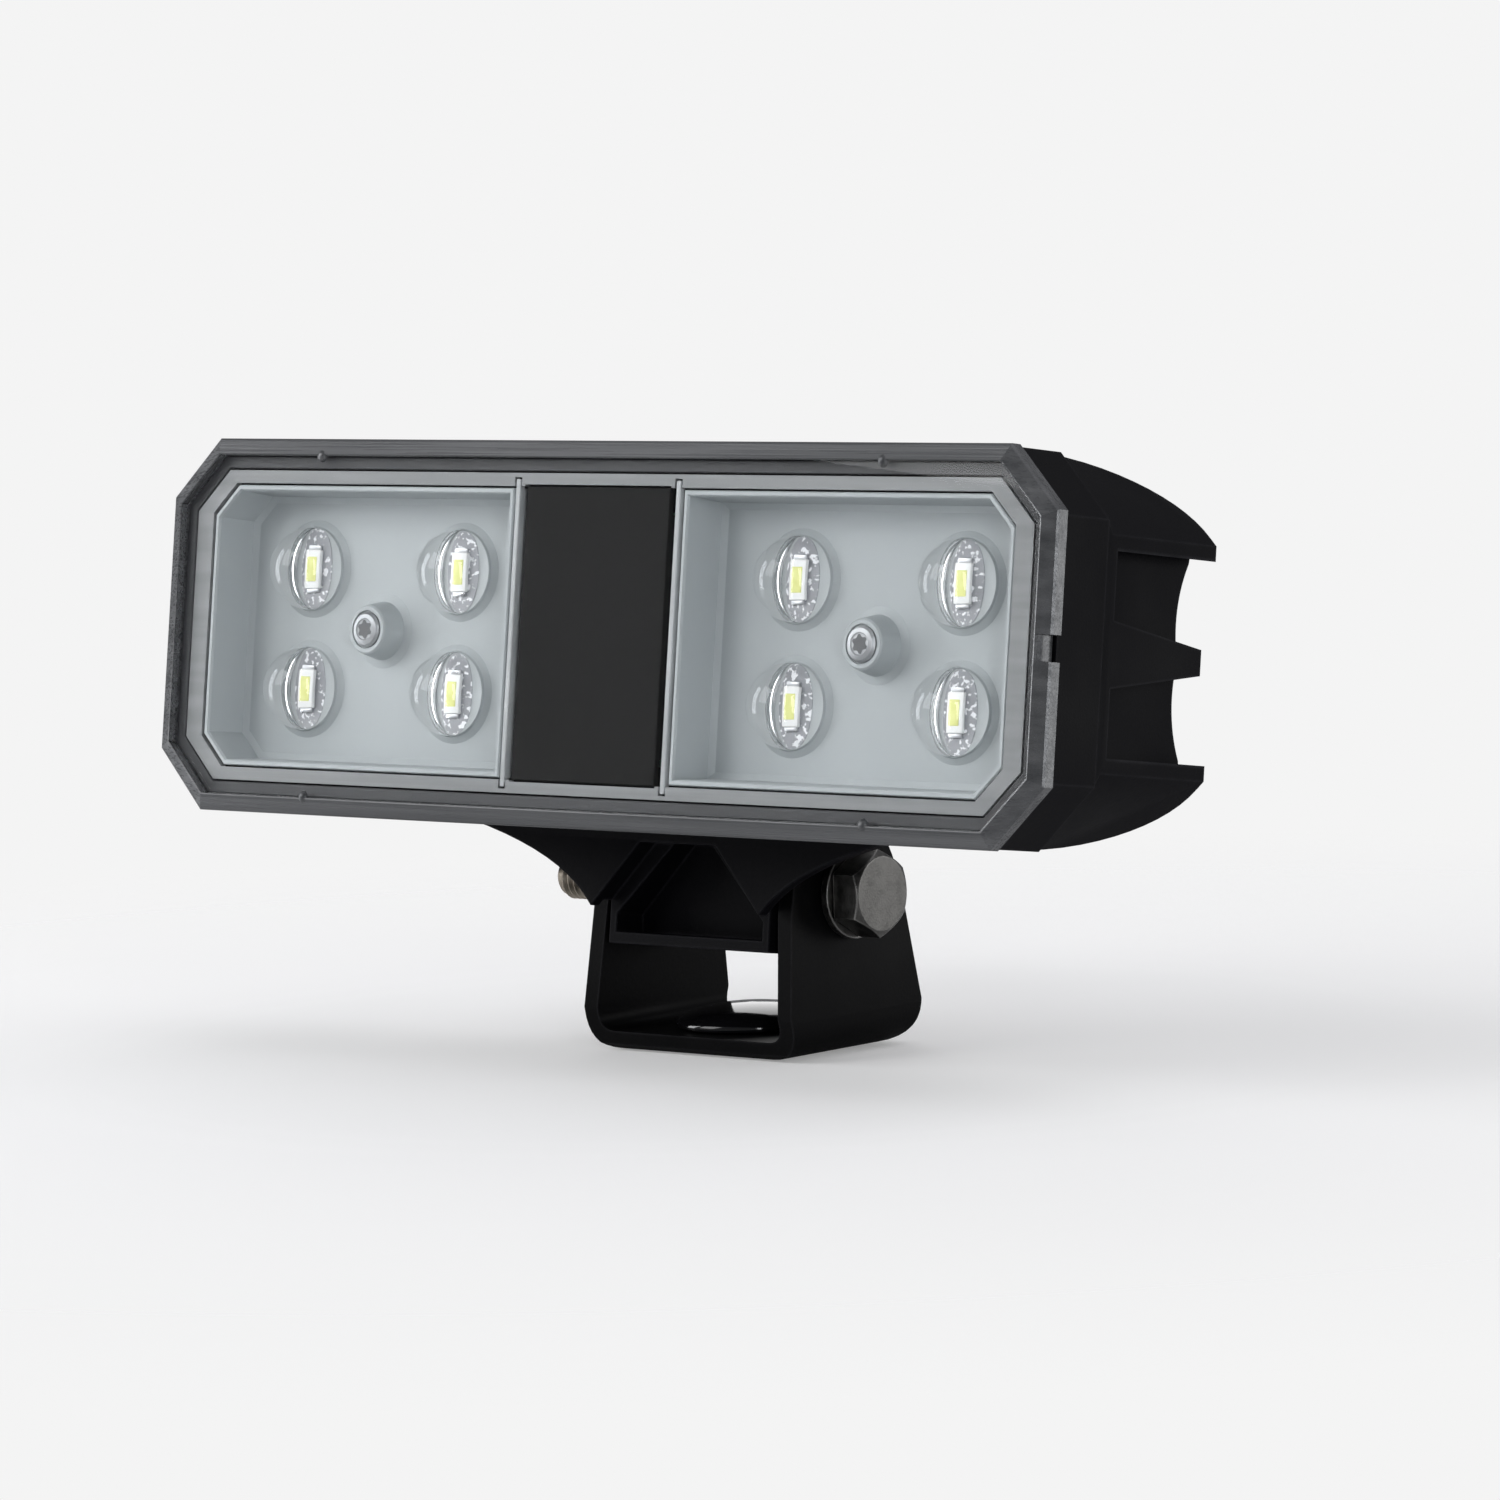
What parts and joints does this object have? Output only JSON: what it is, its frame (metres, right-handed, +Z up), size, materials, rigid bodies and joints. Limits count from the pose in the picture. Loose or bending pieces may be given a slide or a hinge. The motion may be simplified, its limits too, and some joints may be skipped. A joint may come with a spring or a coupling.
{
  "type": "fog light",
  "caption": "Rectangular LED fog and work light with an octagonal lens, finned housing and a tilting U-bracket.",
  "frame": {"origin": "centre of the mounting hole on the underside of the bracket's base", "axes": "+X along the lamp's width, -Y out of the lens, +Z up from the base"},
  "size_m": [0.196, 0.0604, 0.1041],
  "materials": {
    "bracket_powder_coat": "fine black powder coat on steel plate",
    "housing_powder_coat": "fine black powder coat on cast aluminium",
    "cap_gloss_black": "gloss black",
    "stainless_steel": "blasted stainless",
    "clear_lens": "clear moulded polycarbonate",
    "clear_optic": "clear moulded acrylic",
    "black_rubber": "matte",
    "bezel_grey": "satin",
    "panel_black": "satin",
    "board_white": "satin solder mask",
    "pad_grey": "soft matte",
    "led_phosphor": "yellow phosphor on a white package",
    "board_green": "satin solder mask",
    "capacitor_sleeve": "printed-film sleeve without print",
    "moulded_black": "moulded, satin"
  },
  "bodies": {
    "bracket": {"bracket": "bracket_powder_coat", "mount_hole_cap": "cap_gloss_black", "pivot_bolt": "stainless_steel", "pivot_washer": "stainless_steel", "pivot_nut": "stainless_steel"},
    "head": {"housing": "housing_powder_coat", "mounting_foot": "housing_powder_coat", "front_lens": "clear_lens", "lens_gasket": "black_rubber", "bezel_frame": "bezel_grey", "centre_panel": "panel_black", "optic_tray_left": "clear_optic", "optic_screw_left": "stainless_steel", "divider_left": "clear_optic", "led_board_left": "board_white", "thermal_pad_left": "pad_grey", "optic_tray_right": "clear_optic", "optic_screw_right": "stainless_steel", "divider_right": "clear_optic", "led_board_right": "board_white", "thermal_pad_right": "pad_grey", "led_1": "led_phosphor", "led_2": "led_phosphor", "led_3": "led_phosphor", "led_4": "led_phosphor", "led_5": "led_phosphor", "led_6": "led_phosphor", "led_7": "led_phosphor", "led_8": "led_phosphor", "driver_board": "board_green", "driver_pad": "pad_grey", "driver_capacitor": "capacitor_sleeve", "driver_inductor": "moulded_black", "driver_chip": "moulded_black", "driver_terminal": "moulded_black", "cable_gland_body": "moulded_black", "cable_gland_nut": "moulded_black", "cable_gland_plug": "black_rubber", "breather_vent": "moulded_black"}
  },
  "joints": [
    {"name": "head_tilt", "type": "hinge", "parent": "bracket", "child": "head", "pos_m": [0, 0, 0.0268], "axis": [1, 0, 0], "range_deg": [-60, 20]}
  ]
}
